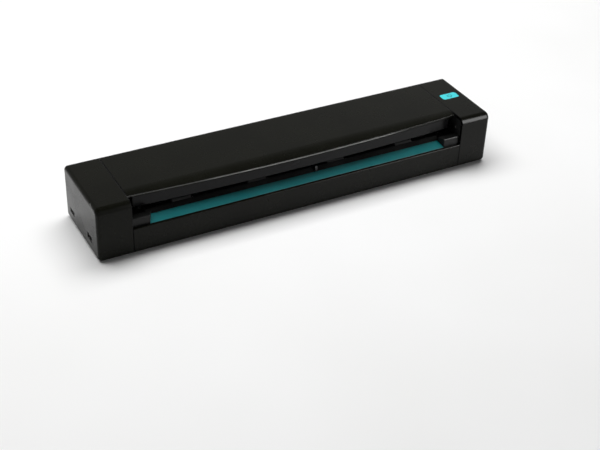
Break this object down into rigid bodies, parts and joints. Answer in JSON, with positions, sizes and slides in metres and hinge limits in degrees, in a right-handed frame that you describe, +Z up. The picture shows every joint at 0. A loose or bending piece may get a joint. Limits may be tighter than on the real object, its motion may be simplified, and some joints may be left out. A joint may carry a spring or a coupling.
{
  "type": "sheet-fed scanner",
  "caption": "Slim portable sheet-fed scanner with a bow-fronted hinged cover between two end caps, a push button, side ports and a geared roller feed with two image sensors.",
  "frame": {"origin": "middle of the footprint, on the surface that the feet stand on", "axes": "+X along the length towards the cap with the button, +Y towards the hinge at the back, +Z up"},
  "size_m": [0.296, 0.061, 0.0395],
  "materials": {
    "casing_black": "satin",
    "band_black": "glossy",
    "guide_black": "satin",
    "strip_teal": "satin",
    "button_cyan": "satin",
    "frame_grey": "matt",
    "steel": "satin",
    "gear_white": "satin",
    "brass": "satin",
    "roller_rubber": "matt",
    "pinch_rubber": "matt",
    "foot_rubber": "matt",
    "sensor_black": "matt",
    "window_glass": "clear",
    "strip_white": "matt",
    "board_green": "satin",
    "chip_black": "matt",
    "connector_white": "satin",
    "ribbon_white": "satin",
    "port_metal": "satin",
    "motor_metal": "satin",
    "spring_steel": "satin"
  },
  "bodies": {
    "base": {"base_tray": "casing_black", "left_end_cap": "casing_black", "right_end_cap": "casing_black", "left_side_frame": "frame_grey", "right_side_frame": "frame_grey", "shaft_bushes": "brass", "hinge_pins": "steel", "lower_guide_plate": "guide_black", "entry_strip": "strip_teal", "right_guide_block": "guide_black", "left_guide_block": "guide_black", "lower_sensor_bar": "sensor_black", "lower_sensor_glass": "window_glass", "lower_calibration_strip": "strip_white", "main_board": "board_green", "main_chip": "chip_black", "ribbon_connectors": "connector_white", "lower_sensor_ribbon": "ribbon_white", "long_ribbon": "ribbon_white", "mini_port": "port_metal", "micro_port": "port_metal", "drive_gear_stud": "steel", "motor": "motor_metal", "motor_bracket": "steel", "paper_sensor": "chip_black", "button_board": "board_green", "button_switch": "chip_black", "rubber_feet": "foot_rubber", "base_screws": "steel", "frame_screws": "steel", "bracket_screws": "steel", "board_screws": "steel"},
    "cover": {"top_cover": "casing_black", "lid_inner_frame": "band_black", "upper_sensor_bar": "sensor_black", "upper_sensor_glass": "window_glass", "upper_calibration_strip": "strip_white", "lid_screws": "steel", "front_pinch_springs": "spring_steel", "rear_pinch_springs": "spring_steel"},
    "front_feed": {"front_feed_shaft": "steel", "front_feed_rollers": "roller_rubber", "front_shaft_gear": "gear_white"},
    "rear_feed": {"rear_feed_shaft": "steel", "rear_feed_rollers": "roller_rubber", "rear_shaft_gear": "gear_white"},
    "idler": {"drive_gear": "gear_white"},
    "motor_rotor": {"motor_shaft": "steel", "motor_pinion": "brass"},
    "front_pinch_slide": {"front_pinch_bearings": "gear_white"},
    "front_pinch_roll": {"front_pinch_axle": "steel", "front_pinch_rollers": "pinch_rubber"},
    "rear_pinch_slide": {"rear_pinch_bearings": "gear_white"},
    "rear_pinch_roll": {"rear_pinch_axle": "steel", "rear_pinch_rollers": "pinch_rubber"},
    "paper_lever": {"sensor_lever": "chip_black"},
    "button": {"power_button": "button_cyan", "switch_plunger": "connector_white"}
  },
  "joints": [
    {"name": "lid_hinge", "type": "hinge", "parent": "base", "child": "cover", "pos_m": [0, 0.0255, 0.028], "axis": [-1, 0, 0], "range_deg": [0, 62]},
    {"name": "button_press", "type": "slide", "parent": "base", "child": "button", "axis": [0, 0, -1], "range_m": [0, 0.0006], "stiffness_N_per_m": 2500},
    {"name": "paper_lever_swing", "type": "hinge", "parent": "base", "child": "paper_lever", "pos_m": [0.012, -0.021, 0.017], "axis": [-1, 0, 0], "range_deg": [0, 32], "stiffness_Nm_per_rad": 0.001},
    {"name": "front_feed_spin", "type": "hinge", "parent": "base", "child": "front_feed", "pos_m": [0, -0.013, 0.01925], "axis": [1, 0, 0], "continuous": true},
    {"name": "rear_feed_spin", "type": "hinge", "parent": "base", "child": "rear_feed", "pos_m": [0, 0.019, 0.01925], "axis": [1, 0, 0], "continuous": true},
    {"name": "drive_gear_spin", "type": "hinge", "parent": "base", "child": "idler", "pos_m": [0.1318, 0.003, 0.01925], "axis": [1, 0, 0], "continuous": true},
    {"name": "motor_spin", "type": "hinge", "parent": "base", "child": "motor_rotor", "pos_m": [0.1368, -0.00813, 0.01475], "axis": [1, 0, 0], "continuous": true},
    {"name": "front_pinch_lift", "type": "slide", "parent": "cover", "child": "front_pinch_slide", "axis": [0, 0, 1], "range_m": [0, 0.0008], "stiffness_N_per_m": 500, "springref_m": -0.002, "deforming": ["front_pinch_springs"]},
    {"name": "front_pinch_spin", "type": "hinge", "parent": "front_pinch_slide", "child": "front_pinch_roll", "pos_m": [0, -0.013, 0.02805], "axis": [1, 0, 0], "continuous": true},
    {"name": "rear_pinch_lift", "type": "slide", "parent": "cover", "child": "rear_pinch_slide", "axis": [0, 0, 1], "range_m": [0, 0.0008], "stiffness_N_per_m": 500, "springref_m": -0.002, "deforming": ["rear_pinch_springs"]},
    {"name": "rear_pinch_spin", "type": "hinge", "parent": "rear_pinch_slide", "child": "rear_pinch_roll", "pos_m": [0, 0.019, 0.02805], "axis": [1, 0, 0], "continuous": true}
  ],
  "couplings": [
    {"joint": "rear_feed_spin", "follows": "front_feed_spin", "ratio": 1},
    {"joint": "drive_gear_spin", "follows": "front_feed_spin", "ratio": -0.81818},
    {"joint": "motor_spin", "follows": "front_feed_spin", "ratio": 2.4545}
  ]
}
